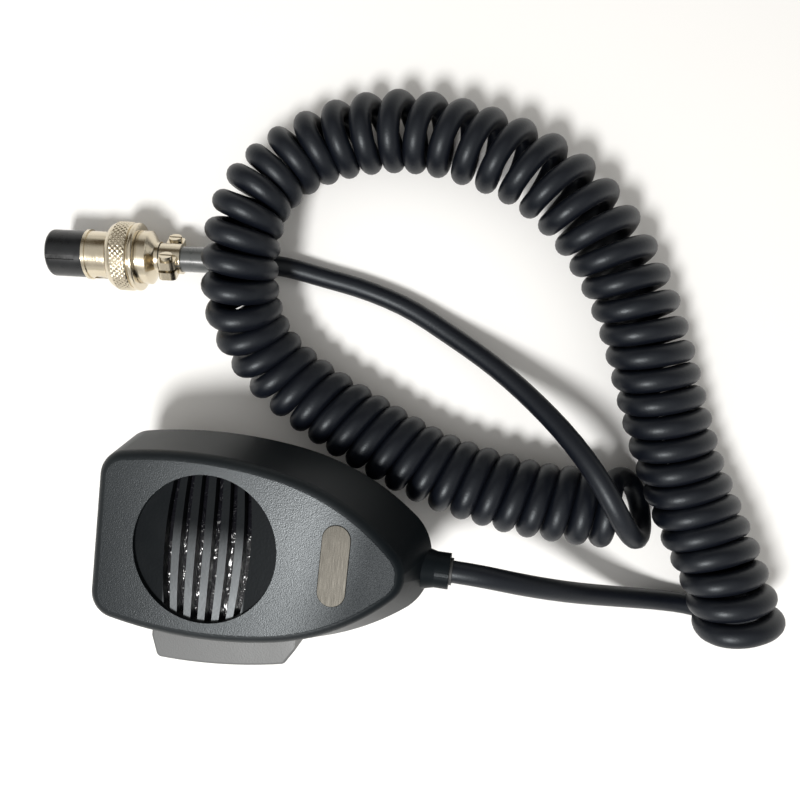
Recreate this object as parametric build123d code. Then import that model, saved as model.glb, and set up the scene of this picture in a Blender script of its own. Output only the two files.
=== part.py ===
from build123d import *
import math
import os

# Hand microphone with a curly cord and an eight-way screw-lock plug. Millimetres.
#
# The row frame stands on the table: z = 0 is the table, +X runs from the blunt end of the case
# towards its cord, and +Y away from the push-to-talk bar. The case lies on its back on its hanger
# stud and one corner, so it is modelled level in its own frame and then tilted by case_pose.
# The plug is modelled along its own +X, front face first, and placed by plug_pose.

os.makedirs("parts", exist_ok=True)

# ---------------------------------------------------------------- driving dimensions
# Case, in the case frame: origin at the middle of the stud's end, z towards the front face
stud_height = 5.75
case_depth = 31.0
back_z = stud_height
seam_z = back_z + case_depth / 2
face_z = back_z + case_depth
wall = 2.2
face_edge_radius = 2.5
back_edge_radius = 4.0

# How the case lies: nose up, push-to-talk side down
case_pitch = 7.8
case_roll = 4.9
stud_place = (1.3, 5.3)

# Hanger stud
stud_head_radius = 5.5
stud_head_height = 2.2
stud_neck_radius = 3.0
stud_edge = 0.4
stud_thread_radius = 2.0

# Grille and what sits behind it
grille_x = -12.8
grille_opening = 18.1
grille_radius = 19.2
grille_recess = 1.2
grille_thickness = 2.4
slat_count = 5
slat_pitch = 3.95
slat_width = 2.0
slat_bow = 0.1
slat_shift = 0.4
slot_reach = 18.5
pocket_depth = 1.6
gasket_radius = 15.85
film_thickness = 0.3
element_radius = 13.5
element_height = 9.7

# Name plate
badge_x, badge_y = 19.2, 0.8
badge_width, badge_length, badge_thickness = 6.9, 19.6, 1.0
badge_pocket = 0.8

# Push-to-talk bar, its pivot and its switch
bar_half_height = 6.0
bar_wall = 1.8
pivot_x, pivot_y = 8.3, -18.5
pin_radius = 1.0
opening_gap = 0.4
plunger_x, plunger_z = -18.0, 17.4
plunger_radius = 1.0
plunger_tip_y = -19.3

# Circuit board
board_z = 12.5
board_thickness = 1.6

# Cord
cord_radius = 2.8
coil_radius = 10.3
gland_end_x = 46.2

# Plug, along its own +X from the insert's front face
plug_axis_z = 9.3
plug_front = (-73.0, 72.2)
plug_turn = 3.9
insert_radius = 6.25
barrel_radius = 6.4
barrel_start = 10.1
barrel_end = 24.5
flange_radius = 6.75
flange_length = 0.8
ring_radius = 9.3
ring_start = 16.8
ring_end = 24.4
ring_thread_radius = 7.46
ring_collar_length = 1.6
rear_start = 24.5
rear_radius = 7.2
rear_shoulder = 27.2
neck_start = 28.8
neck_radius = 4.4
clamp_start = 29.8
clamp_end = 35.6
clamp_bore = 3.5
clamp_outer = 4.1
clamp_turn = -50.0
clamp_gap = 0.4
clamp_ear_z = 2.6
clamp_reach = 7.2
clamp_screw_y = 5.0
sleeve_radius = 3.45
sleeve_end = 43.0
contact_count = 7
contact_circle = 3.9


# ---------------------------------------------------------------- helpers
def rod_z(x, y, radius, low, high):
    """Upright cylinder between two heights."""
    return Pos(x, y, (low + high) / 2) * Cylinder(radius, high - low)


def rod_x(radius, start, end, y=0.0, z=0.0):
    """Cylinder along X between two stations."""
    return Pos((start + end) / 2, y, z) * Rot(0, 90, 0) * Cylinder(radius, end - start)


def rod_y(radius, start, end, x=0.0, z=0.0):
    """Cylinder along Y between two stations."""
    return Pos(x, (start + end) / 2, z) * Rot(90, 0, 0) * Cylinder(radius, end - start)


def cone_x(radius_start, radius_end, start, end, z=0.0):
    """Cone along X between two stations."""
    middle = Pos((start + end) / 2, 0, z)
    return middle * Rot(0, 90, 0) * Cone(radius_start, radius_end, end - start)


def block(x_low, x_high, y_low, y_high, z_low, z_high):
    """Box given by its limits."""
    centre = Pos((x_low + x_high) / 2, (y_low + y_high) / 2, (z_low + z_high) / 2)
    return centre * Box(x_high - x_low, y_high - y_low, z_high - z_low)


def prism(points, low, high):
    """Upright prism on a polygon."""
    return Pos(0, 0, low) * extrude(make_face(Polyline(*points, close=True)), high - low)


# ---------------------------------------------------------------- case outlines
def outline(z, end_x, end_half, widest, shoulder, flank, nose, corner):
    """Shield-shaped section of the case: blunt end, bowed sides, narrow nose."""
    side = ThreePointArc((end_x, end_half), (-17, widest), shoulder)
    flank_arc = TangentArc(shoulder, flank, tangent=side % 1)
    nose_arc = TangentArc(flank, nose, tangent=flank_arc % 1)
    half = Curve() + [side, flank_arc, nose_arc]
    blunt = Line((end_x, -end_half), (end_x, end_half))
    tip = Line(nose, (nose[0], -nose[1]))
    section = make_face(half + mirror(half, about=Plane.XZ) + Curve() + [blunt, tip])
    corners = section.vertices().sort_by(Axis.X)[:2]
    return Pos(0, 0, z) * fillet(corners, corner)


def seam_outline(z, inset=0.0):
    flank = (35.5 - 0.8 * inset, 12.0 - 0.7 * inset)
    nose = (40.5 - inset, 3.4)
    return outline(z, -42.8 + inset, 23.0 - inset, 26.4 - inset, (5, 25.1 - inset), flank, nose, 7.5 - inset)


def face_outline(z, inset=0.0):
    flank = (33.4 - 0.8 * inset, 5.0 - 0.6 * inset)
    nose = (35.4 - inset, 0.8)
    return outline(z, -41.3 + inset, 19.5 - inset, 22.4 - inset, (5, 20.3 - inset), flank, nose, 6.5 - inset)


def back_outline(z, inset=0.0):
    flank = (33.0 - 0.8 * inset, 9.0 - 0.7 * inset)
    nose = (37.0 - inset, 2.6)
    return outline(z, -41.5 + inset, 19.5 - inset, 22.8 - inset, (5, 21.4 - inset), flank, nose, 7.5 - inset)


# ---------------------------------------------------------------- case
case_screw_places = [(-34, 16.5), (-34, -16.5), (18, 12), (18, -12)]
case_screw_radius = 1.4
screw_seat_z = back_z + 9
screw_tip_z = seam_z + 8
board_post_places = [(-24, 10), (8, 10)]
clamp_post_places = [(29, 5.5), (29, -5.5)]
collar_radius = 4.5
collar_bore = 3.4
collar_end_x = 45.5
collar_y = -1.0


def bar_opening():
    """Slot in the case's side that the push-to-talk bar moves in."""
    reach = bar_half_height + opening_gap
    return block(-29.4, 11.0, -40, -18.6, seam_z - reach, seam_z + reach)


def cord_collar():
    """Tube round the cord at the nose, with its flared root, cut along the seam later."""
    collar = rod_x(collar_radius, 35.5, collar_end_x, y=collar_y, z=seam_z)
    return collar + Pos(0, collar_y, 0) * cone_x(6.0, collar_radius, 36.0, 42.0, z=seam_z)


def pivot_boss(low, high):
    """Boss that holds one end of the pivot pin."""
    return rod_z(pivot_x, pivot_y, 2.4, low, high)


def front_shell():
    outer = loft([seam_outline(seam_z), face_outline(face_z)], ruled=True)
    outer = fillet(outer.faces().sort_by(Axis.Z)[-1].edges(), face_edge_radius)
    inner = loft([seam_outline(seam_z, wall), face_outline(face_z - wall, wall + 0.6)], ruled=True)
    upper_half = block(30, 50, -10, 10, seam_z, seam_z + 10)
    shell = outer - inner + (cord_collar() & upper_half)

    lip_z = face_z - grille_recess
    pocket_z = lip_z - grille_thickness - pocket_depth
    shell += rod_z(grille_x, 0, grille_radius + 1.4, pocket_z, face_z - 1) & outer
    shell -= rod_z(grille_x, 0, grille_radius + 0.05, pocket_z - 1, lip_z)
    shell -= rod_z(grille_x, 0, grille_opening, pocket_z, face_z + 1)

    for x, y in case_screw_places:
        shell += rod_z(x, y, 3.0, seam_z, face_z - wall) & outer
        shell -= rod_z(x, y, case_screw_radius + 0.02, seam_z - 1, screw_tip_z + 1)
    shell += pivot_boss(seam_z + 6.7, seam_z + 9.8)
    shell -= rod_z(pivot_x, pivot_y, pin_radius + 0.02, seam_z, seam_z + 9)

    badge_seat = Pos(badge_x, badge_y, face_z - badge_pocket) * Rot(0, 0, 90)
    shell -= badge_seat * extrude(SlotOverall(badge_length + 0.1, badge_width + 0.1), badge_pocket + 1)
    return shell - bar_opening() - rod_x(collar_bore, 30, 50, y=collar_y, z=seam_z)


def rear_shell():
    outer = loft([back_outline(back_z), seam_outline(seam_z)], ruled=True)
    outer = fillet(outer.faces().sort_by(Axis.Z)[0].edges(), back_edge_radius)
    inner = loft([back_outline(back_z + wall, wall + 0.6), seam_outline(seam_z, wall)], ruled=True)
    lower_half = block(30, 50, -10, 10, seam_z - 10, seam_z)
    shell = outer - inner + (cord_collar() & lower_half)

    floor_z = back_z + wall
    for x, y in case_screw_places:
        shell += rod_z(x, y, 3.6, floor_z - 1, seam_z)
    for x, y in board_post_places:
        shell += rod_z(x, y, 2.5, floor_z - 1, board_z)
        shell -= rod_z(x, y, 1.12, floor_z + 0.5, board_z + 1)
    for x, y in clamp_post_places:
        shell += rod_z(x, y, 2.2, floor_z - 1, seam_z + cord_radius)
        shell -= rod_z(x, y, 1.02, seam_z - 8, seam_z + cord_radius + 1)
    shell += block(27, 31, -3, 3, floor_z - 1, seam_z - cord_radius)

    for x, y in case_screw_places:
        shell -= rod_z(x, y, 2.7, back_z - 1, screw_seat_z)
        shell -= rod_z(x, y, case_screw_radius + 0.1, screw_seat_z - 1, seam_z + 1)
    shell += pivot_boss(seam_z - 9.8, seam_z - 6.7)
    shell -= rod_z(pivot_x, pivot_y, pin_radius + 0.02, seam_z - 9, seam_z)
    shell -= rod_z(0, 0, stud_thread_radius + 0.05, back_z - 1, floor_z + 1)
    return shell - bar_opening() - rod_x(collar_bore, 32, 50, y=collar_y, z=seam_z)


def case_screws():
    """Four pan-head screws, put in from the back."""
    screws = []
    for x, y in case_screw_places:
        head = rod_z(x, y, 2.5, screw_seat_z - 1.8, screw_seat_z)
        slot = block(x - 2.6, x + 2.6, y - 0.35, y + 0.35, screw_seat_z - 2, screw_seat_z - 1.1)
        screws.append(head - slot + rod_z(x, y, case_screw_radius, screw_seat_z, screw_tip_z))
    return screws


def hanger_stud():
    """Button with a waist, which a dashboard clip grips, and a threaded shank inside."""
    head = rod_z(0, 0, stud_head_radius, 0, stud_head_height)
    head = fillet(head.edges().filter_by(GeomType.CIRCLE), stud_edge)
    neck = rod_z(0, 0, stud_neck_radius, stud_head_height - 0.5, back_z)
    slot = block(-3.2, 3.2, -0.5, 0.5, -1, 0.7)
    return head + neck + rod_z(0, 0, stud_thread_radius, back_z, back_z + 6) - slot


def stud_nut():
    low = back_z + wall
    nut = Pos(0, 0, low) * extrude(RegularPolygon(4.0, 6), 3.0)
    return nut - rod_z(0, 0, stud_thread_radius + 0.02, low - 1, low + 4)


# ---------------------------------------------------------------- grille and microphone element
def grille_slot(low_x, high_x):
    """One slot between slats, bowed away from the grille's middle."""
    low_height = math.sqrt(slot_reach**2 - low_x**2)
    high_height = math.sqrt(slot_reach**2 - high_x**2)
    low_bow, high_bow = slat_bow * low_x, slat_bow * high_x
    left = ThreePointArc((low_x - low_bow, -low_height), (low_x, 0), (low_x - low_bow, low_height))
    right = ThreePointArc((high_x - high_bow, -high_height), (high_x, 0), (high_x - high_bow, high_height))
    top = Line(left @ 1, right @ 1)
    bottom = Line(left @ 0, right @ 0)
    return make_face(left + right + top + bottom)


def grille_insert():
    low = face_z - grille_recess - grille_thickness
    disc = rod_z(0, 0, grille_radius, low, low + grille_thickness)
    slot_width = slat_pitch - slat_width
    for number in range(slat_count + 1):
        middle = (number - slat_count / 2) * slat_pitch + slat_shift
        slot = grille_slot(middle - slot_width / 2, middle + slot_width / 2)
        disc -= Pos(0, 0, low - 1) * extrude(slot, grille_thickness + 2)
    return Pos(grille_x, 0, 0) * disc


element_top_z = face_z - grille_recess - grille_thickness - film_thickness - 0.2


def dust_film():
    return rod_z(grille_x, 0, grille_radius - 0.1, element_top_z + 0.1, element_top_z + 0.1 + film_thickness)


def microphone_element():
    """Round dynamic capsule: rim, stepped back and a centre magnet cap."""
    low = element_top_z - element_height
    body = rod_z(grille_x, 0, element_radius, low + 3, element_top_z)
    back = rod_z(grille_x, 0, element_radius - 3, low + 1, low + 3)
    return body + back + rod_z(grille_x, 0, 6, low, low + 1)


def element_gasket():
    low, high = element_top_z - 3.5, element_top_z
    ring = rod_z(grille_x, 0, gasket_radius, low, high)
    return ring - rod_z(grille_x, 0, element_radius + 0.02, low - 1, high + 1)


def badge():
    plate = extrude(SlotOverall(badge_length, badge_width), badge_thickness)
    plate = fillet(plate.faces().sort_by(Axis.Z)[-1].edges(), 0.15)
    return Pos(badge_x, badge_y, face_z - badge_pocket) * Rot(0, 0, 90) * plate


# ---------------------------------------------------------------- push-to-talk
def ptt_button():
    """Bar that turns on the pin; hollow from inside, with a rib that meets the plunger."""
    outer_edge = ThreePointArc((-26.6, -33.0), (-9.0, -32.2), (7.0, -29.4))
    rest = Polyline((7.0, -29.4), (9.4, -25.6), (9.4, -19.2), (-28.6, -22.4), (-28.6, -27.6), (-26.6, -33.0))
    low, high = seam_z - bar_half_height, seam_z + bar_half_height
    bar = Pos(0, 0, low) * extrude(make_face(outer_edge + rest), high - low)
    outer_corners = bar.edges().filter_by(Axis.Z).filter_by(lambda edge: edge.center().Y < -26)
    bar = fillet(outer_corners, 1.6)
    rims = bar.edges().filter_by(lambda edge: edge.center().Y < -27 and abs(edge.center().Z - seam_z) > 5.9)
    bar = fillet(rims, 0.8)
    pocket = [(-27.6, -18), (-27.6, -27.4), (-25.6, -31.0), (4.0, -28.0), (4.0, -18)]
    bar -= prism(pocket, low + bar_wall, high - bar_wall)
    bar += block(plunger_x - 0.8, plunger_x + 0.8, -31.4, plunger_tip_y - 0.15, low + 1, high - 1)
    bar += rod_z(pivot_x, pivot_y, 2.3, low, high)
    spring_room = rod_z(pivot_x, pivot_y, 3.1, seam_z + 1.6, seam_z + 5.0)
    return bar - spring_room - rod_z(pivot_x, pivot_y, pin_radius + 0.05, low - 1, high + 1)


def ptt_pivot_pin():
    return rod_z(pivot_x, pivot_y, pin_radius, seam_z - 8.9, seam_z + 8.9)


def ptt_spring():
    """Torsion spring round the pin: four turns and a leg to the case."""
    coil_path = Helix(pitch=0.62, height=2.2, radius=1.9)
    section = Plane(origin=coil_path @ 0, z_dir=coil_path % 0) * Circle(0.25)
    wire = sweep(section, path=coil_path, is_frenet=True)
    place = Pos(pivot_x, pivot_y, seam_z + 2.2)
    leg = rod_y(0.25, pivot_y, pivot_y + 5.5, x=pivot_x + 1.9, z=seam_z + 2.2)
    return place * wire + leg


def switch_body():
    low = board_z + board_thickness
    body = block(plunger_x - 6.4, plunger_x + 6.4, -16.8, -10.4, low, low + 6)
    return body - rod_y(plunger_radius + 0.06, -17.8, -11.2, x=plunger_x, z=plunger_z)


def switch_plunger():
    tip = rod_y(plunger_radius, plunger_tip_y, plunger_tip_y + 6.1, x=plunger_x, z=plunger_z)
    return fillet(tip.edges().sort_by(Axis.Y)[0], 0.4)


# ---------------------------------------------------------------- board and wiring
def circuit_board():
    board = block(-28, 12, -15.5, 14, board_z, board_z + board_thickness)
    board = fillet(board.edges().filter_by(Axis.Z), 1.5)
    for x, y in board_post_places:
        board -= rod_z(x, y, 1.2, board_z - 1, board_z + board_thickness + 1)
    return board


def board_screws():
    seat = board_z + board_thickness
    return [
        rod_z(x, y, 2.1, seat, seat + 1.4) + rod_z(x, y, 1.1, board_z - 3.8, seat)
        for x, y in board_post_places
    ]


def board_parts():
    """Upright capacitor and two resistors."""
    seat = board_z + board_thickness
    capacitor = fillet(rod_z(4, 3, 2.5, seat, seat + 7).edges().sort_by(Axis.Z)[-1], 0.4)
    resistors = [rod_x(1.1, -4, 2.5, y=y, z=seat + 1.1) for y in (-9, -5)]
    return [capacitor] + resistors


def element_wires():
    """Two thin insulated wires from the element's back to the board."""
    top = element_top_z - element_height + 1
    seat = board_z + board_thickness
    wires = []
    for side in (1, -1):
        start = (grille_x + 8, 2.5 * side, top)
        upper_bend = (grille_x + 8, 2.5 * side, seat + 6.0)
        lower_bend = (grille_x + 5, 4.5 * side, seat + 3.0)
        end = (grille_x + 5, 4.5 * side, seat)
        path = FilletPolyline(start, upper_bend, lower_bend, end, radius=1.2)
        wires.append(sweep(Plane(origin=path @ 0, z_dir=path % 0) * Circle(0.4), path=path))
    return wires


# ---------------------------------------------------------------- cord entry
def strain_relief():
    """Rubber bush in the collar, with a flange behind it."""
    bush = rod_x(collar_bore - 0.02, 34.0, gland_end_x, y=collar_y, z=seam_z)
    bush += rod_x(5.0, 34.0, 35.4, y=collar_y, z=seam_z)
    return bush - rod_x(cord_radius, 30, 50, y=collar_y, z=seam_z)


def cable_clamp():
    low = seam_z + cord_radius
    bar = block(26.5, 31.5, -8, 8, low, low + 2)
    for x, y in clamp_post_places:
        bar -= rod_z(x, y, 1.1, low - 1, low + 3)
    return fillet(bar.edges().filter_by(Axis.Z), 1.0)


def cable_clamp_screws():
    seat = seam_z + cord_radius + 2
    screws = []
    for x, y in clamp_post_places:
        screws.append(rod_z(x, y, 1.8, seat, seat + 1.3) + rod_z(x, y, 1.0, seam_z - 6, seat))
    return screws


# ---------------------------------------------------------------- plug
def contact_places():
    ring = [math.radians(360 / contact_count * number) for number in range(contact_count)]
    return [(0.0, 0.0)] + [(contact_circle * math.cos(a), contact_circle * math.sin(a)) for a in ring]


def insert_screw_hole(radius, depth):
    """Radial hole in the -Y side, where a grub screw holds the insert."""
    return rod_y(radius, -8, -barrel_radius + depth, x=13.6)


def plug_insert():
    insert = rod_x(insert_radius, 0, barrel_start)
    insert = fillet(insert.edges().sort_by(Axis.X)[0], 1.1)
    insert += rod_x(barrel_radius - 1.1, barrel_start, 21)
    for y, z in contact_places():
        insert -= rod_x(0.9, -1, 22, y=y, z=z)
    insert -= Rot(20, 0, 0) * Pos(4, 0, insert_radius) * Box(8.2, 1.2, 1.0)
    return insert - insert_screw_hole(1.06, 1.6)


def plug_contacts():
    return [rod_x(0.88, 0.6, 24.5, y=y, z=z) - rod_x(0.5, 0, 9, y=y, z=z) for y, z in contact_places()]


def plug_shell():
    """Barrel with a thin front flange, and a reduced rear end that the rear body holds."""
    barrel = rod_x(barrel_radius, barrel_start, barrel_end)
    barrel += rod_x(flange_radius, barrel_start, barrel_start + flange_length)
    barrel += rod_x(5.75, barrel_end, barrel_end + 2.5)
    barrel -= rod_x(barrel_radius - 1.08, barrel_start - 1, barrel_end + 5)
    return barrel - insert_screw_hole(1.06, 2) - insert_screw_hole(1.7, 0.45)


def insert_screw():
    screw = rod_y(1.0, -barrel_radius + 0.35, -barrel_radius + 1.5, x=13.6)
    return screw - block(12.5, 14.7, -7, -barrel_radius + 0.75, -0.2, 0.2)


def coupling_ring():
    """Ring with the plug's thread in front, a clip groove and a collar that rides on the barrel."""
    ring = rod_x(ring_radius, ring_start, ring_end)
    ring = chamfer(ring.edges().sort_by(Axis.X)[0], 0.6)
    ring = fillet(ring.edges().sort_by(Axis.X)[-1], 0.4)
    collar_start = ring_end - ring_collar_length
    ring -= rod_x(ring_thread_radius, ring_start - 1, collar_start)
    return ring - rod_x(barrel_radius + 0.08, collar_start - 1, ring_end + 1)


def ring_clip():
    """Open wire clip that keeps the ring on the barrel."""
    clip_x = ring_end - ring_collar_length - 0.6
    clip = Pos(clip_x, 0, 0) * Rot(0, 90, 0) * Torus(6.96, 0.42)
    return clip - block(clip_x - 1, clip_x + 1, -1.2, 1.2, 0, 9)


clamp_middle = (clamp_start + clamp_end) / 2


def clamp_half(side, screw_bore):
    """Half of the clamp above (side 1) or below (side -1) the cord: an arch and two ears."""
    low, high = sorted((side * clamp_gap, side * clamp_ear_z))
    arch = rod_x(clamp_outer, clamp_start, clamp_end)
    arch = arch & block(clamp_start, clamp_end, -9, 9, *sorted((side * clamp_gap, side * 9)))
    ears = block(clamp_start + 0.6, clamp_end - 0.6, -clamp_reach, clamp_reach, low, high)
    half = arch + fillet(ears.edges().filter_by(Axis.Z), 1.2)
    for y in (-clamp_screw_y, clamp_screw_y):
        half -= rod_z(clamp_middle, y, screw_bore, low - 1, high + 1)
    return half - rod_x(clamp_bore, clamp_start - 1, clamp_end + 1)


def plug_rear_body():
    """Turned rear body with its neck and the fixed half of the cable clamp."""
    body = rod_x(rear_radius, rear_start, rear_shoulder)
    body += cone_x(rear_radius, neck_radius, rear_shoulder, neck_start)
    body += rod_x(neck_radius, neck_start, clamp_start)
    body += Rot(clamp_turn, 0, 0) * clamp_half(-1, 1.02)
    body -= rod_x(5.8, rear_start - 1, rear_shoulder)
    return body - rod_x(clamp_bore, rear_start, clamp_start + 0.1)


def clamp_saddle():
    loose_half = clamp_half(1, 1.15)
    return Rot(clamp_turn, 0, 0) * (loose_half - block(clamp_start - 1, clamp_start + 0.2, -9, 9, -9, 9))


def clamp_screws():
    screws = []
    for y in (-clamp_screw_y, clamp_screw_y):
        head = rod_z(clamp_middle, y, 1.75, clamp_ear_z, clamp_ear_z + 1.3)
        slot = block(clamp_middle - 2, clamp_middle + 2, y - 0.3, y + 0.3, clamp_ear_z + 0.7, clamp_ear_z + 2)
        shank = rod_z(clamp_middle, y, 1.0, -clamp_ear_z - 0.6, clamp_ear_z)
        screws.append(Rot(clamp_turn, 0, 0) * (head - slot + shank))
    return screws


def cord_sleeve():
    sleeve = rod_x(sleeve_radius, clamp_start - 1, sleeve_end)
    return sleeve - rod_x(cord_radius, 20, 50)


# ---------------------------------------------------------------- poses
tilt = math.acos(math.cos(math.radians(case_pitch)) * math.cos(math.radians(case_roll)))
stud_lift = (stud_head_radius - stud_edge) * math.sin(tilt) + stud_edge * (1 - math.cos(tilt))
case_pose = Pos(*stud_place, stud_lift) * Rot(0, -case_pitch, 0) * Rot(case_roll, 0, 0)
plug_pose = Pos(*plug_front, plug_axis_z) * Rot(0, 0, plug_turn)


def case_point(x, y, z):
    """A point of the case frame, in the row frame."""
    return tuple((case_pose * Pos(x, y, z)).position)


def plug_point(x):
    """A point on the plug's axis, in the row frame."""
    return tuple((plug_pose * Pos(x, 0, 0)).position)


# ---------------------------------------------------------------- cord
# Points of the route where straight runs would meet
route_from_mic = [
    case_point(30, collar_y, seam_z),
    case_point(gland_end_x + 6.6, collar_y, seam_z),
    (63.2, 0.4, 24.4),
    (77.5, -1.8, 16.4),
    (92.0, -3.1, 8.4),
    (105.0, -3.7, 3.6),
    (115.5, -4.1, 2.9),
    (123.8, -6.6, 7.0),
]
route_of_coil = [
    (122.2, -6.4, 16.4),
    (117.5, 6.4, 16.4),
    (109.3, 22.2, 11.2),
    (101.3, 38.8, 10.4),
    (94.6, 56.6, 10.4),
    (87.0, 75.8, 10.4),
    (76.2, 93.7, 10.4),
    (60.2, 107.4, 10.4),
    (39.8, 114.8, 10.4),
    (18.2, 116.6, 10.4),
    (-2.6, 110.6, 11.2),
    (-14.8, 98.9, 16.0),
    (-19.3, 86.9, 21.6),
    (-19.2, 68.4, 21.6),
    (-14.9, 55.2, 15.4),
    (-3.9, 44.8, 11.0),
    (16.1, 34.5, 10.4),
    (38.0, 25.5, 10.4),
    (59.8, 21.2, 10.4),
    (76, 20.4, 10.4),
    (87, 21.2, 10.4),
]
route_to_plug = [
    (80.5, 30.5, 12.5),
    (87.5, 31.2, 7.0),
    (94.6, 27.0, 3.6),
    (97.0, 19.8, 4.6),
    (95.2, 14.6, 11.5),
    (90.6, 14.4, 20.0),
    (84.5, 20.8, 25.6),
    (78.6, 29.6, 25.4),
    (70.6, 39.3, 20.0),
    (60.5, 48.6, 13.2),
    (49.7, 56.5, 8.4),
    (37.6, 63.3, 5.0),
    (25.5, 69.6, 3.4),
    (12.2, 73.4, 2.9),
    (0.0, 75.2, 2.9),
    (-9.0, 76.7, 3.6),
    (-17.6, 76.5, 6.0),
    plug_point(sleeve_end + 4.8),
    plug_point(clamp_start),
]


def tube(route, radius, name):
    """Round tube on straight runs joined by arcs as large as the runs allow."""
    points = [Vector(*point) for point in route]
    runs = [after - before for before, after in zip(points, points[1:])]
    radii = []
    for before, after in zip(runs, runs[1:]):
        half_turn = math.radians(before.get_angle(after)) / 2
        radii.append(0.45 * min(before.length, after.length) / math.tan(half_turn))
    path = FilletPolyline(*points, radius=radii)
    solid = sweep(Plane(origin=path @ 0, z_dir=path % 0) * Circle(radius), path=path)
    ratio = solid.volume / (math.pi * radius**2 * path.length)
    smallest = ", ".join(f"{value:.0f}" for value in sorted(radii)[:4])
    print(f"{name}: length {path.length:.1f}, smallest arcs {smallest}, volume ratio {ratio:.4f}")
    return solid


# ---------------------------------------------------------------- writing
case_pieces = {
    "front_shell": front_shell(),
    "rear_shell": rear_shell(),
    "case_screws": case_screws(),
    "hanger_stud": hanger_stud(),
    "stud_nut": stud_nut(),
    "grille_insert": grille_insert(),
    "dust_film": dust_film(),
    "microphone_element": microphone_element(),
    "element_gasket": element_gasket(),
    "badge": badge(),
    "ptt_button": ptt_button(),
    "ptt_pivot_pin": ptt_pivot_pin(),
    "ptt_spring": ptt_spring(),
    "switch_body": switch_body(),
    "switch_plunger": switch_plunger(),
    "circuit_board": circuit_board(),
    "board_screws": board_screws(),
    "board_parts": board_parts(),
    "element_wires": element_wires(),
    "strain_relief": strain_relief(),
    "cable_clamp": cable_clamp(),
    "cable_clamp_screws": cable_clamp_screws(),
}
plug_pieces = {
    "plug_insert": plug_insert(),
    "plug_contacts": plug_contacts(),
    "plug_shell": plug_shell(),
    "insert_screw": insert_screw(),
    "coupling_ring": coupling_ring(),
    "ring_clip": ring_clip(),
    "plug_rear_body": plug_rear_body(),
    "clamp_saddle": clamp_saddle(),
    "clamp_screws": clamp_screws(),
    "cord_sleeve": cord_sleeve(),
}
cord_pieces = {
    "lead_from_mic": tube(route_from_mic, cord_radius, "lead_from_mic"),
    "curly_coil": tube(route_of_coil, coil_radius, "curly_coil"),
    "lead_to_plug": tube(route_to_plug, cord_radius, "lead_to_plug"),
}


def write(pieces, pose):
    """One STEP file per node; a group of separate solids goes in as a compound."""
    for name, piece in pieces.items():
        solids = piece if isinstance(piece, list) else [piece]
        placed = [pose * solid for solid in solids]
        export_step(placed[0] if len(placed) == 1 else Compound(children=placed), f"parts/{name}.step")


write(case_pieces, case_pose)
write(plug_pieces, plug_pose)
write(cord_pieces, Pos(0, 0, 0))
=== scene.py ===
import math

import bpy
from mathutils import Matrix, Vector, noise


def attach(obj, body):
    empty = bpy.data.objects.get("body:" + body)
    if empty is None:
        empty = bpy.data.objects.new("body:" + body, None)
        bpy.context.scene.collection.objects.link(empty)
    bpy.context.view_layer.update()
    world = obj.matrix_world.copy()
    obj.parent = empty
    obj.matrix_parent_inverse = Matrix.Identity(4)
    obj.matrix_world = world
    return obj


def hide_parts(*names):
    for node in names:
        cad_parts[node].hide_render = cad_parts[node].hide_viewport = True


# Looks for the hand microphone, in metres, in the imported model's own frame.

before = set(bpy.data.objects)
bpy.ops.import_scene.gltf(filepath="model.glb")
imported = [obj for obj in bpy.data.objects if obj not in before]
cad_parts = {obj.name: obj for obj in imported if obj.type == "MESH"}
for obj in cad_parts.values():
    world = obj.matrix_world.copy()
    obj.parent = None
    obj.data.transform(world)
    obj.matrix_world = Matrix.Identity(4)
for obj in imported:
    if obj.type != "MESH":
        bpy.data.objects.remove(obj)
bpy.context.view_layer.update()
MM = 0.001

# Without a fixed seed noise_vector starts from the clock, and the coil comes out different each run
noise.seed_set(11)

# ---------------------------------------------------------------- driving dimensions (mm, degrees)
# The case's own frame, as in the CAD: origin at the stud's end, z towards the front face
case_pitch, case_roll = 7.8, 4.9
case_place = (1.3, 5.3, 0.82)
seam_z = 21.25
face_z = 36.75
grille_x = -12.8
collar_y = -1.0
gland_end_x = 46.2

# The plug's own frame: x along its axis from the insert's front face
plug_front = (-73.0, 72.2, 9.3)
plug_turn = 3.9
sleeve_exit = 47.8
clamp_start = 29.8

cord_diameter = 5.6
coil_strand = 6.0
coil_turns = 55.75
points_per_turn = 20
# The coil's route is drawn for this half diameter; its axis rises or sinks with the true one
route_half_coil = 10.3
# How much the turns wander: in radius, sideways and along the coil
wander_radius, wander_side, wander_along = 0.25, 0.3, 0.6

case_pose = (
    Matrix.Translation(Vector(case_place) * MM)
    @ Matrix.Rotation(math.radians(-case_pitch), 4, "Y")
    @ Matrix.Rotation(math.radians(case_roll), 4, "X")
)
plug_pose = Matrix.Translation(Vector(plug_front) * MM) @ Matrix.Rotation(math.radians(plug_turn), 4, "Z")


def case_point(x, y, z):
    """A point of the case frame, given in millimetres."""
    return case_pose @ (Vector((x, y, z)) * MM)


def plug_point(x, y=0.0, z=0.0):
    """A point of the plug frame, given in millimetres."""
    return plug_pose @ (Vector((x, y, z)) * MM)


def place(points):
    """Points given in millimetres, in metres."""
    return [Vector(point) * MM for point in points]


# ---------------------------------------------------------------- camera
scene = bpy.context.scene
camera_data = bpy.data.cameras.new("camera")
camera_data.lens = 33.98
camera_data.sensor_width = 36
camera = bpy.data.objects.new("camera", camera_data)
camera.location = Vector((26.1, 43.4, 216.2)) * MM
camera.rotation_euler = (0, 0, math.radians(6.87))
camera_data.clip_start = 0.01
scene.collection.objects.link(camera)
scene.camera = camera
scene.render.resolution_x = 800
scene.render.resolution_y = 800


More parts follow.
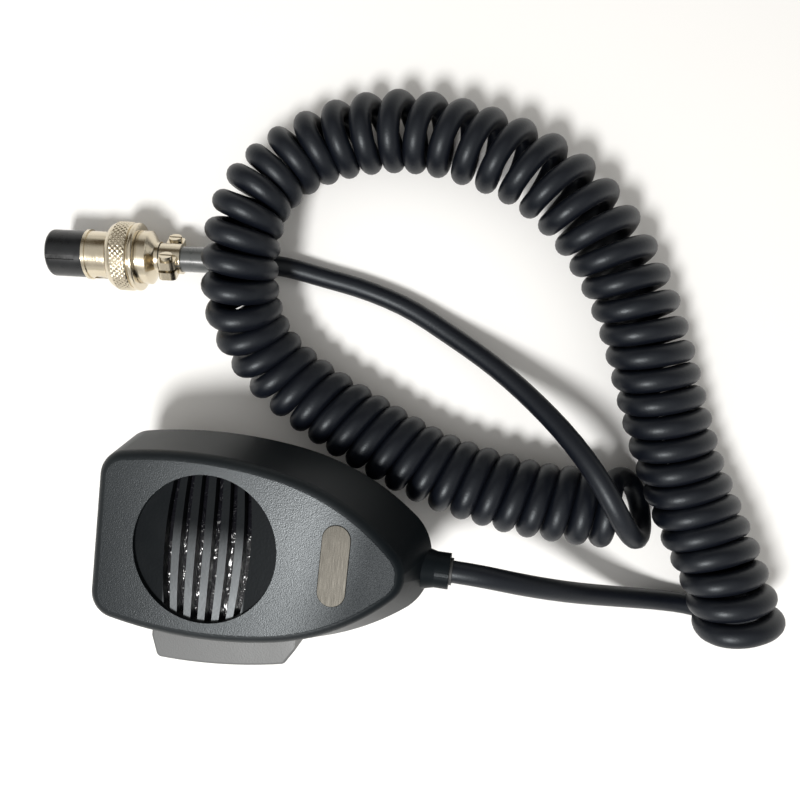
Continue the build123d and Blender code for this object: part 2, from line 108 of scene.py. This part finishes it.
# ---------------------------------------------------------------- cord
def nurbs(name, points):
    """Open quadratic NURBS through the route's control points."""
    data = bpy.data.curves.new(name, "CURVE")
    data.dimensions = "3D"
    data.resolution_u = 6
    spline = data.splines.new("NURBS")
    spline.points.add(len(points) - 1)
    for control, point in zip(spline.points, points):
        control.co = (*point, 1)
        control.radius = cord_diameter / 2 * MM
    spline.order_u = 3
    spline.use_endpoint_u = True
    curve = bpy.data.objects.new(name, data)
    scene.collection.objects.link(curve)
    return curve


def follow(points):
    """Points read along a route's NURBS spline, and their running length."""
    guide = nurbs("guide", points)
    guide.data.resolution_u = 40
    mesh = bpy.data.meshes.new_from_object(guide)
    line = [vertex.co.copy() for vertex in mesh.vertices]
    bpy.data.objects.remove(guide)
    lengths = [0.0]
    for before, after in zip(line, line[1:]):
        lengths.append(lengths[-1] + (after - before).length)
    return line, lengths


def between(table, share):
    """Value at a share of the way, eased between the rows of a (share, value) table."""
    for (start, low), (end, high) in zip(table, table[1:]):
        if share <= end:
            step = (share - start) / (end - start)
            step = step * step * (3 - 2 * step)
            return low + (high - low) * step
    return table[-1][1]


route_from_mic = [
    case_point(30, collar_y, seam_z),
    case_point(40, collar_y, seam_z),
    case_point(gland_end_x + 6.6, collar_y, seam_z),
] + place([
    (63.2, 0.4, 24.4),
    (77.5, -1.8, 16.4),
    (92.0, -3.1, 8.4),
    (105.0, -3.7, 3.6),
    (114.0, -4.0, 2.9),
    (119.5, -5.0, 4.6),
])
route_of_coil = place([
    (122.2, -6.4, 16.4),
    (117.5, 6.4, 16.4),
    (109.3, 22.2, 11.2),
    (101.3, 38.8, 10.4),
    (94.6, 56.6, 10.4),
    (87.0, 75.8, 10.4),
    (76.2, 93.7, 10.4),
    (60.2, 107.4, 10.4),
    (39.8, 114.8, 10.4),
    (18.2, 116.6, 10.4),
    (-2.6, 110.6, 11.2),
    (-14.8, 98.9, 16.0),
    (-19.3, 86.9, 21.6),
    (-19.2, 68.4, 21.6),
    (-14.9, 55.2, 15.4),
    (-3.9, 44.8, 11.0),
    (16.1, 34.5, 10.4),
    (38.0, 25.5, 10.4),
    (59.8, 21.2, 10.4),
    (76, 20.4, 10.4),
    (87, 21.2, 10.4),
])
route_to_plug = place([
    (90.5, 30.0, 5.4),
    (94.6, 27.0, 3.6),
    (97.0, 19.8, 4.6),
    (95.2, 14.6, 11.5),
    (90.6, 14.4, 20.0),
    (84.5, 20.8, 25.6),
    (78.6, 29.6, 25.4),
    (70.6, 39.3, 20.0),
    (60.5, 48.6, 13.2),
    (49.7, 56.5, 8.4),
    (37.6, 63.3, 5.0),
    (25.5, 69.6, 3.4),
    (12.2, 73.4, 2.9),
    (0.0, 75.2, 2.9),
    (-9.0, 76.7, 3.6),
    (-17.6, 76.5, 6.0),
]) + [plug_point(sleeve_exit), plug_point(clamp_start)]

# Outer diameter and pitch of the coil along its length, in millimetres
coil_outer = [(0, 24.0), (0.04, 23.2), (0.12, 23.9), (0.33, 24.3), (0.46, 22.6),
              (0.58, 19.3), (0.7, 18.9), (0.8, 20.2), (0.93, 20.8), (1, 21.0)]
coil_pitch = [(0, 6.0), (0.07, 5.9), (0.1, 6.25), (0.2, 6.2), (0.25, 7.1), (0.3, 8.0), (0.36, 8.1),
              (0.42, 7.5), (0.5, 7.3), (0.57, 7.1), (0.62, 6.4), (0.66, 6.1), (0.72, 6.6), (0.8, 5.85),
              (0.9, 5.85), (1, 6.3)]
# How far the turns lean, per unit of height, and how far their inner sides run ahead, per unit of width
coil_lean = Vector((-0.25, -0.2, 0))
coil_skew = [(0, 0.0), (0.42, 0.0), (0.50, -0.14), (0.55, -0.22), (0.60, -0.08), (0.65, 0.0), (1, 0.0)]


def helix(points):
    """Left-handed coil round the route, from the underside of its first turn to the far side of its last."""
    line, lengths = follow(points)
    total = lengths[-1]
    turned = [0.0]
    for here, step_end in zip(lengths, lengths[1:]):
        turned.append(turned[-1] + (step_end - here) / between(coil_pitch, here / total))
    scale = coil_turns / turned[-1]
    count = int(coil_turns * points_per_turn)
    coil = []
    station = 0
    for number in range(count + 1):
        turn = number / points_per_turn
        while station < len(line) - 2 and turned[station + 1] * scale < turn:
            station += 1
        step = (turn / scale - turned[station]) / (turned[station + 1] - turned[station])
        centre = line[station].lerp(line[station + 1], step)
        share = (lengths[station] + step * (lengths[station + 1] - lengths[station])) / total
        along = (line[min(station + 8, len(line) - 1)] - line[max(station - 8, 0)]).normalized()
        side = Vector((0, 0, 1)).cross(along).normalized()
        up = along.cross(side)
        outer = between(coil_outer, share) * MM
        wander = noise.noise_vector(Vector((turn * 0.37, 2.0, 5.0)))
        radius = outer / 2 - coil_strand / 2 * MM + wander_radius * MM * wander.x
        rise = Vector((0, 0, outer / 2 - route_half_coil * MM))
        centre = centre + rise + wander_side * MM * wander.y * side
        angle = -math.pi / 2 - 2 * math.pi * turn
        across = radius * (math.cos(angle) * side + math.sin(angle) * up)
        sway = (wander_along * MM * wander.z + between(coil_skew, share) * radius) * math.cos(angle)
        coil.append(centre + across + across.z * coil_lean + sway * along)
    return coil


turns_of_coil = helix(route_of_coil)
cord = nurbs("cord", route_from_mic + turns_of_coil + route_to_plug)
for number in range(len(turns_of_coil)):
    cord.data.splines[0].points[len(route_from_mic) + number].radius = coil_strand / 2 * MM
cord.data.bevel_depth = 1
cord.data.bevel_resolution = 7
cord.data.resolution_u = 3
cord.data.use_fill_caps = True
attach(cord, "microphone")
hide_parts("lead_from_mic", "curly_coil", "lead_to_plug")


# ---------------------------------------------------------------- material helpers
def add(tree, kind, inputs=None, **settings):
    """New shader node with its settings, inputs given as values or as sockets to link."""
    made = tree.nodes.new("ShaderNode" + kind)
    for key, value in settings.items():
        setattr(made, key, value)
    for key, value in (inputs or {}).items():
        if isinstance(value, bpy.types.NodeSocket):
            tree.links.new(value, made.inputs[key])
        else:
            made.inputs[key].default_value = value
    return made


def new_material(name, values):
    """Node material with a principled shader, its constants set on the sockets."""
    made = bpy.data.materials.new(name)
    made.use_nodes = True
    tree = made.node_tree
    shader = tree.nodes["Principled BSDF"]
    for key, value in values.items():
        shader.inputs[key].default_value = value
    return made, tree, shader


def object_place(tree):
    """Coordinates that stay with the object, in metres."""
    return add(tree, "TexCoord").outputs["Object"]


def noise_of(tree, place_socket, scale, detail=3.0, roughness=0.5, distortion=0.0):
    made = add(tree, "TexNoise", {"Vector": place_socket, "Scale": scale, "Detail": detail,
                                  "Roughness": roughness, "Distortion": distortion})
    return made.outputs["Fac"]


def ranged(tree, value, low, high, out_low, out_high, smooth=True):
    """Value mapped from one range to another, held at both ends."""
    kind = "SMOOTHSTEP" if smooth else "LINEAR"
    made = add(tree, "MapRange", {"Value": value, "From Min": low, "From Max": high, "To Min": out_low,
                                  "To Max": out_high}, interpolation_type=kind)
    return made.outputs["Result"]


def times(tree, first, second):
    return add(tree, "Math", {0: first, 1: second}, operation="MULTIPLY").outputs["Value"]


def plus(tree, first, second):
    return add(tree, "Math", {0: first, 1: second}, operation="ADD").outputs["Value"]


def along_axis(tree, place_socket, axis):
    """Distance along a fixed direction."""
    made = add(tree, "VectorMath", {0: place_socket, 1: tuple(axis)}, operation="DOT_PRODUCT")
    return made.outputs["Value"]


def two_colours(tree, share, first, second):
    made = add(tree, "Mix", data_type="RGBA")
    tree.links.new(share, made.inputs["Factor"])
    made.inputs["A"].default_value = (*first, 1)
    made.inputs["B"].default_value = (*second, 1)
    return made.outputs["Result"]


def bump(tree, shader, height, distance, strength=1.0):
    """Bump of a height of one over a real distance in metres."""
    made = add(tree, "Bump", {"Height": height, "Distance": distance, "Strength": strength})
    tree.links.new(made.outputs["Normal"], shader.inputs["Normal"])


def dress(node, material):
    """Gives a CAD node its finished material in every slot."""
    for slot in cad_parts[node].material_slots:
        slot.material = material


case_x_axis = case_pose.to_3x3() @ Vector((1, 0, 0))
case_y_axis = case_pose.to_3x3() @ Vector((0, 1, 0))
case_z_axis = case_pose.to_3x3() @ Vector((0, 0, 1))
plug_x_axis = plug_pose.to_3x3() @ Vector((1, 0, 0))

# Tint of the highlights on the black plastics
cool_gloss = (0.90, 0.96, 1.0, 1)


# ---------------------------------------------------------------- materials
def case_plastic():
    """Black moulding with a fine-grained front face and smooth satin walls.

    The sheen varies by place, which the real plastic's does not: it stands in for soft studio light.
    """
    made, tree, shader = new_material("case_plastic", {"Specular Tint": cool_gloss})
    place_socket = object_place(tree)
    normal = add(tree, "TexCoord").outputs["Normal"]
    facing = along_axis(tree, normal, case_z_axis)
    on_face = ranged(tree, facing, 0.985, 0.998, 0.0, 1.0)
    grain = noise_of(tree, place_socket, 3400, 2.0, 0.55)
    pebble = noise_of(tree, place_socket, 900, 2.0)
    soft = noise_of(tree, place_socket, 45, 4.0)
    relief = plus(tree, times(tree, grain, 0.7), times(tree, pebble, 0.15))
    relief_share = ranged(tree, on_face, 0.0, 1.0, 0.08, 1.0)
    bump(tree, shader, times(tree, relief, relief_share), 0.00008)
    middle = case_point(0, 0, face_z)
    across = plus(tree, along_axis(tree, place_socket, case_x_axis), -middle.dot(case_x_axis))
    length = plus(tree, along_axis(tree, place_socket, case_y_axis), -middle.dot(case_y_axis))
    left_end = ranged(tree, across, -0.042, -0.016, 0.62, 1.0)
    right_end = ranged(tree, plus(tree, across, times(tree, length, -0.2)), 0.008, 0.027, 1.0, 0.18)
    upward = ranged(tree, length, -0.018, 0.016, 0.52, 0.74)
    face_sheen = times(tree, times(tree, left_end, right_end), upward)
    wall_sheen = ranged(tree, across, 0.012, 0.034, 0.32, 0.09)
    sheen = plus(tree, times(tree, on_face, face_sheen),
                 times(tree, ranged(tree, on_face, 0.0, 1.0, 1.0, 0.0), wall_sheen))
    tree.links.new(sheen, shader.inputs["Specular IOR Level"])
    rough = plus(tree, ranged(tree, on_face, 0.0, 1.0, 0.44, 0.37), ranged(tree, soft, 0.3, 0.7, -0.02, 0.02))
    tree.links.new(rough, shader.inputs["Roughness"])
    cloud = ranged(tree, soft, 0.3, 0.7, 0.0, 1.0)
    colour = two_colours(tree, cloud, (0.0030, 0.0046, 0.0060), (0.0050, 0.0070, 0.0085))
    tree.links.new(colour, shader.inputs["Base Color"])
    return made


def grille_plastic():
    """Black insert whose crescents at both sides are kept almost without gloss, as painted shade that keeps
    them dark.

    The slats' sheen grows towards their lower ends, again to stand in for soft studio light.
    """
    made, tree, shader = new_material("grille_plastic", {"Specular Tint": cool_gloss})
    place_socket = object_place(tree)
    grain = noise_of(tree, place_socket, 1500, 2.0)
    soft = noise_of(tree, place_socket, 120, 3.0)
    bump(tree, shader, grain, 0.00003)
    middle = case_point(grille_x + 0.4, 0, face_z)
    across = plus(tree, along_axis(tree, place_socket, case_x_axis), -middle.dot(case_x_axis))
    length = plus(tree, along_axis(tree, place_socket, case_y_axis), -middle.dot(case_y_axis))
    off_middle = add(tree, "Math", {0: across}, operation="ABSOLUTE").outputs["Value"]
    on_slat = ranged(tree, off_middle, 0.0095, 0.0105, 1.0, 0.0)
    lower_half = ranged(tree, length, -0.004, 0.007, 0.72, 0.0)
    lower_end = ranged(tree, length, -0.014, -0.004, 0.35, 0.0)
    sheen = plus(tree, lower_half, lower_end)
    # Gloss only on the slats, strongest towards their lower ends, is painted highlight; the crescents'
    # near-zero gloss is painted shade
    tree.links.new(plus(tree, times(tree, on_slat, sheen), 0.04), shader.inputs["Specular IOR Level"])
    tree.links.new(ranged(tree, soft, 0.3, 0.7, 0.38, 0.46), shader.inputs["Roughness"])
    colour = two_colours(tree, soft, (0.004, 0.005, 0.006), (0.008, 0.009, 0.010))
    tree.links.new(colour, shader.inputs["Base Color"])
    return made


def film():
    """Thin dark wrinkled film behind the slats.

    Its gloss is kept to the lower half, to stand in for soft studio light.
    """
    made, tree, shader = new_material("film", {"Base Color": (0.006, 0.006, 0.008, 1), "Roughness": 0.14,
                                               "Coat Roughness": 0.09})
    place_socket = object_place(tree)
    folds = noise_of(tree, place_socket, 150, 3.0, 0.5, 1.0)
    ridges = add(tree, "Math", {0: folds, 1: 0.5}, operation="SUBTRACT").outputs["Value"]
    ridges = add(tree, "Math", {0: ridges}, operation="ABSOLUTE").outputs["Value"]
    bump(tree, shader, ridges, 0.0030)
    middle = case_point(grille_x, 0, face_z)
    length = plus(tree, along_axis(tree, place_socket, case_y_axis), -middle.dot(case_y_axis))
    shine = ranged(tree, length, -0.003, 0.007, 1.0, 0.03)
    tree.links.new(shine, shader.inputs["Coat Weight"])
    tree.links.new(times(tree, shine, 0.6), shader.inputs["Specular IOR Level"])
    return made


def badge_metal():
    """Blank brushed plate, darker than bare aluminium, to suit this light."""
    made, tree, shader = new_material("badge_metal", {"Metallic": 0.8, "Specular IOR Level": 0.3})
    place_socket = object_place(tree)
    across = along_axis(tree, place_socket, case_x_axis)
    length = along_axis(tree, place_socket, case_y_axis)
    stretched = add(tree, "CombineXYZ", {"X": times(tree, across, 9000.0), "Y": times(tree, length, 220.0)})
    brushed = noise_of(tree, stretched.outputs["Vector"], 1.0, 3.0, 0.6)
    soft = noise_of(tree, place_socket, 130, 3.0)
    bump(tree, shader, brushed, 0.00002)
    tree.links.new(ranged(tree, brushed, 0.3, 0.7, 0.40, 0.52), shader.inputs["Roughness"])
    colour = two_colours(tree, soft, (0.046, 0.043, 0.037), (0.062, 0.058, 0.050))
    tree.links.new(colour, shader.inputs["Base Color"])
    return made


def button_plastic():
    """Grey moulding of the push-to-talk bar."""
    made, tree, shader = new_material("button_plastic", {"Specular IOR Level": 0.5})
    place_socket = object_place(tree)
    grain = noise_of(tree, place_socket, 2600, 2.0)
    soft = noise_of(tree, place_socket, 60, 3.0)
    bump(tree, shader, grain, 0.00005)
    tree.links.new(ranged(tree, soft, 0.3, 0.7, 0.42, 0.50), shader.inputs["Roughness"])
    colour = two_colours(tree, soft, (0.085, 0.088, 0.090), (0.105, 0.108, 0.110))
    tree.links.new(colour, shader.inputs["Base Color"])
    return made


def cord_rubber():
    """Satin near-black sheath with faint bloom and a fine grain."""
    made, tree, shader = new_material("cord_rubber", {"Specular IOR Level": 0.40,
                                                      "Specular Tint": cool_gloss})
    place_socket = object_place(tree)
    fine = noise_of(tree, place_socket, 1400, 3.0)
    soft = noise_of(tree, place_socket, 70, 4.0)
    bump(tree, shader, fine, 0.00004)
    tree.links.new(ranged(tree, soft, 0.3, 0.7, 0.41, 0.47), shader.inputs["Roughness"])
    colour = two_colours(tree, soft, (0.0015, 0.0025, 0.0055), (0.0028, 0.0040, 0.0080))
    tree.links.new(colour, shader.inputs["Base Color"])
    return made


def soft_rubber(name, dark, light, rough):
    """Black rubber with mottling and small lumps."""
    made, tree, shader = new_material(name, {"Specular IOR Level": 0.5})
    place_socket = object_place(tree)
    lumps = noise_of(tree, place_socket, 500, 4.0, 0.6)
    bump(tree, shader, lumps, 0.00015)
    tree.links.new(ranged(tree, lumps, 0.3, 0.7, rough - 0.05, rough + 0.08), shader.inputs["Roughness"])
    tree.links.new(two_colours(tree, lumps, dark, light), shader.inputs["Base Color"])
    return made


def nickel():
    """Turned and plated metal: fine rings round the plug's axis and slightly warm plating."""
    made, tree, shader = new_material("nickel", {"Metallic": 1.0})
    place_socket = object_place(tree)
    station = along_axis(tree, place_socket, plug_x_axis)
    rings = add(tree, "CombineXYZ", {"X": times(tree, station, 4200.0)})
    turned = noise_of(tree, rings.outputs["Vector"], 1.0, 2.0)
    cloud = noise_of(tree, place_socket, 180, 4.0)
    bump(tree, shader, turned, 0.00003)
    tree.links.new(ranged(tree, cloud, 0.3, 0.7, 0.17, 0.27), shader.inputs["Roughness"])
    colour = two_colours(tree, cloud, (0.60, 0.53, 0.40), (0.72, 0.65, 0.52))
    tree.links.new(colour, shader.inputs["Base Color"])
    return made


def plain_metal(name, dark, light, rough):
    """Cast, drawn or stamped metal with a cloudy finish."""
    made, tree, shader = new_material(name, {"Metallic": 1.0})
    place_socket = object_place(tree)
    cloud = noise_of(tree, place_socket, 350, 4.0)
    bump(tree, shader, cloud, 0.00004)
    tree.links.new(ranged(tree, cloud, 0.3, 0.7, rough - 0.06, rough + 0.08), shader.inputs["Roughness"])
    tree.links.new(two_colours(tree, cloud, dark, light), shader.inputs["Base Color"])
    return made


def moulded(name, dark, light, rough, coat=0.0):
    """Moulded plastic with a faint orange-peel surface."""
    made, tree, shader = new_material(name, {"Coat Weight": coat, "Coat Roughness": 0.1})
    place_socket = object_place(tree)
    peel = noise_of(tree, place_socket, 420, 3.0)
    bump(tree, shader, peel, 0.00005)
    tree.links.new(ranged(tree, peel, 0.3, 0.7, rough - 0.04, rough + 0.05), shader.inputs["Roughness"])
    tree.links.new(two_colours(tree, peel, dark, light), shader.inputs["Base Color"])
    return made


case_material = case_plastic()
nickel_material = nickel()
steel_material = plain_metal("steel", (0.45, 0.45, 0.46), (0.62, 0.62, 0.62), 0.33)
cord_material = cord_rubber()
finishes = {
    "front_shell": case_material,
    "rear_shell": case_material,
    "grille_insert": grille_plastic(),
    "dust_film": film(),
    "badge": badge_metal(),
    "ptt_button": button_plastic(),
    "strain_relief": soft_rubber("relief_rubber", (0.018, 0.019, 0.02), (0.03, 0.031, 0.032), 0.5),
    "cord_sleeve": moulded("sleeve", (0.055, 0.060, 0.060), (0.085, 0.090, 0.090), 0.3, 0.8),
    "plug_insert": moulded("insert_plastic", (0.004, 0.005, 0.006), (0.007, 0.008, 0.010), 0.3),
    "plug_contacts": plain_metal("contact_metal", (0.70, 0.52, 0.22), (0.85, 0.68, 0.35), 0.22),
    "circuit_board": moulded("board", (0.30, 0.19, 0.07), (0.42, 0.28, 0.11), 0.4),
    "board_parts": moulded("component_plastic", (0.03, 0.035, 0.06), (0.05, 0.055, 0.09), 0.3),
    "switch_body": moulded("switch_plastic", (0.02, 0.02, 0.022), (0.03, 0.03, 0.033), 0.35),
    "switch_plunger": moulded("plunger_plastic", (0.30, 0.05, 0.03), (0.36, 0.07, 0.04), 0.35),
    "element_wires": moulded("wire_insulation", (0.35, 0.03, 0.02), (0.45, 0.05, 0.03), 0.4),
    "microphone_element": plain_metal("element_metal", (0.50, 0.50, 0.51), (0.62, 0.62, 0.63), 0.35),
    "element_gasket": soft_rubber("gasket_rubber", (0.03, 0.03, 0.03), (0.05, 0.05, 0.05), 0.7),
    "hanger_stud": nickel_material,
    "plug_shell": nickel_material,
    "plug_rear_body": nickel_material,
    "clamp_saddle": nickel_material,
    "clamp_screws": nickel_material,
}
steel_nodes = ["case_screws", "stud_nut", "ptt_pivot_pin", "ptt_spring", "board_screws", "cable_clamp",
               "cable_clamp_screws", "insert_screw", "ring_clip"]
for node_name in steel_nodes:
    finishes[node_name] = steel_material
for node_name, finish in finishes.items():
    dress(node_name, finish)
cord.data.materials.append(cord_material)


# ---------------------------------------------------------------- knurled coupling ring
ring_radius = 9.3
ring_steps = 336
knurl_count = 42
knurl_depth = 0.32


def knurl(angle, station):
    """Height of the diamond knurl, zero at the bottom of its grooves."""
    slant = 2 * math.pi * station / (2 * math.pi * ring_radius / knurl_count)
    first = abs(math.sin((knurl_count * angle + slant) / 2))
    second = abs(math.sin((knurl_count * angle - slant) / 2))
    return min(first, second) ** 0.7


def lathe(name, rings, pose, segments, height=None):
    """Closed band turned about the local x axis from (station, radius) pairs, in millimetres."""
    vertices, faces = [], []
    for station, radius in rings:
        for number in range(segments):
            angle = 2 * math.pi * number / segments
            out = radius + (height(angle, station, radius) if height else 0.0)
            point = Vector((station, out * math.cos(angle), out * math.sin(angle)))
            vertices.append(pose @ (point * MM))
    for ring in range(len(rings)):
        after = (ring + 1) % len(rings)
        for number in range(segments):
            across = (number + 1) % segments
            faces.append((ring * segments + number, after * segments + number,
                          after * segments + across, ring * segments + across))
    mesh = bpy.data.meshes.new(name)
    mesh.from_pydata(vertices, [], faces)
    mesh.update()
    for polygon in mesh.polygons:
        polygon.use_smooth = True
    made = bpy.data.objects.new(name, mesh)
    scene.collection.objects.link(made)
    return made


knurl_low, knurl_high = 18.4, 22.6
knurl_rows = 40
ring_profile = [(16.85, 7.5), (16.8, 7.65), (16.8, 7.85), (16.95, 8.1), (17.5, 8.55), (18.0, 8.85),
                (18.3, 8.96)]
for row in range(knurl_rows + 1):
    ring_profile.append((knurl_low + (knurl_high - knurl_low) * row / knurl_rows, ring_radius - knurl_depth))
ring_profile += [(22.7, 8.9), (22.75, 8.6), (22.85, 8.5), (23.05, 8.5), (23.15, 8.6), (23.2, 8.95),
                 (23.35, 9.1), (23.6, 9.15), (24.1, 9.15), (24.32, 9.05), (24.4, 8.85), (24.4, 7.0),
                 (24.35, 6.6), (24.25, 6.48), (22.8, 6.48), (22.8, 7.46), (17.3, 7.46)]


def ring_height(angle, station, radius):
    """Knurl between its ends, fading in at both."""
    if not knurl_low <= station <= knurl_high or radius < 8:
        return 0.0
    fade = min(1.0, (station - knurl_low) / 0.35, (knurl_high - station) / 0.35)
    return knurl_depth * knurl(angle, station) * max(fade, 0.0)


ring = lathe("knurled_ring", ring_profile, plug_pose, ring_steps, ring_height)
ring.data.materials.append(nickel_material)
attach(ring, "ring")
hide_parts("coupling_ring")


# ---------------------------------------------------------------- floor and lights
def floor():
    """Plain pale sheet of card, faintly uneven."""
    mesh = bpy.data.meshes.new("floor")
    reach = 3.0
    corners = [(-reach, -reach, 0), (reach, -reach, 0), (reach, reach, 0), (-reach, reach, 0)]
    mesh.from_pydata(corners, [], [(0, 1, 2, 3)])
    made, tree, shader = new_material("floor", {"Roughness": 0.85, "Specular IOR Level": 0.1})
    soft = noise_of(tree, object_place(tree), 12, 2.0)
    colour = two_colours(tree, soft, (0.90, 0.895, 0.885), (0.92, 0.918, 0.91))
    tree.links.new(colour, shader.inputs["Base Color"])
    mesh.materials.append(made)
    sheet = bpy.data.objects.new("floor", mesh)
    scene.collection.objects.link(sheet)


def area_light(name, direction, distance, size, power, colour):
    """Round soft light that looks at the middle of the object."""
    data = bpy.data.lights.new(name, "AREA")
    data.shape = "DISK"
    data.size = size
    data.energy = power
    data.color = colour
    middle = Vector((0.03, 0.045, 0.01))
    light = bpy.data.objects.new(name, data)
    light.location = middle + Vector(direction).normalized() * distance
    light.rotation_euler = (middle - light.location).to_track_quat("-Z", "Y").to_euler()
    scene.collection.objects.link(light)


floor()
area_light("key", (-0.125, -0.31, 0.545), 0.64, 0.15, 4.25, (1.0, 0.99, 0.97))


def room():
    """Plain world, bright above and low down, with a dark stretch between for the bare metal to mirror."""
    world = bpy.data.worlds.new("room")
    world.use_nodes = True
    tree = world.node_tree
    direction = add(tree, "TexCoord").outputs["Generated"]
    axes = add(tree, "SeparateXYZ", {"Vector": direction})
    below_ceiling = ranged(tree, axes.outputs["Z"], 0.65, 0.88, 1.0, 0.0)
    dark_side = times(tree, below_ceiling, ranged(tree, axes.outputs["Y"], 0.05, 0.45, 0.25, 1.0))
    upper = two_colours(tree, dark_side, (0.62, 0.61, 0.59), (0.09, 0.07, 0.045))
    low_wall = ranged(tree, axes.outputs["Z"], 0.22, 0.40, 1.0, 0.0)
    colour = add(tree, "Mix", {"Factor": low_wall}, data_type="RGBA")
    tree.links.new(upper, colour.inputs["A"])
    colour.inputs["B"].default_value = (0.80, 0.79, 0.76, 1)
    tree.links.new(colour.outputs["Result"], tree.nodes["Background"].inputs["Color"])
    tree.nodes["Background"].inputs["Strength"].default_value = 1.0
    scene.world = world


room()
scene.view_settings.view_transform = "Standard"
scene.view_settings.exposure = 0.0

bpy.context.view_layer.update()
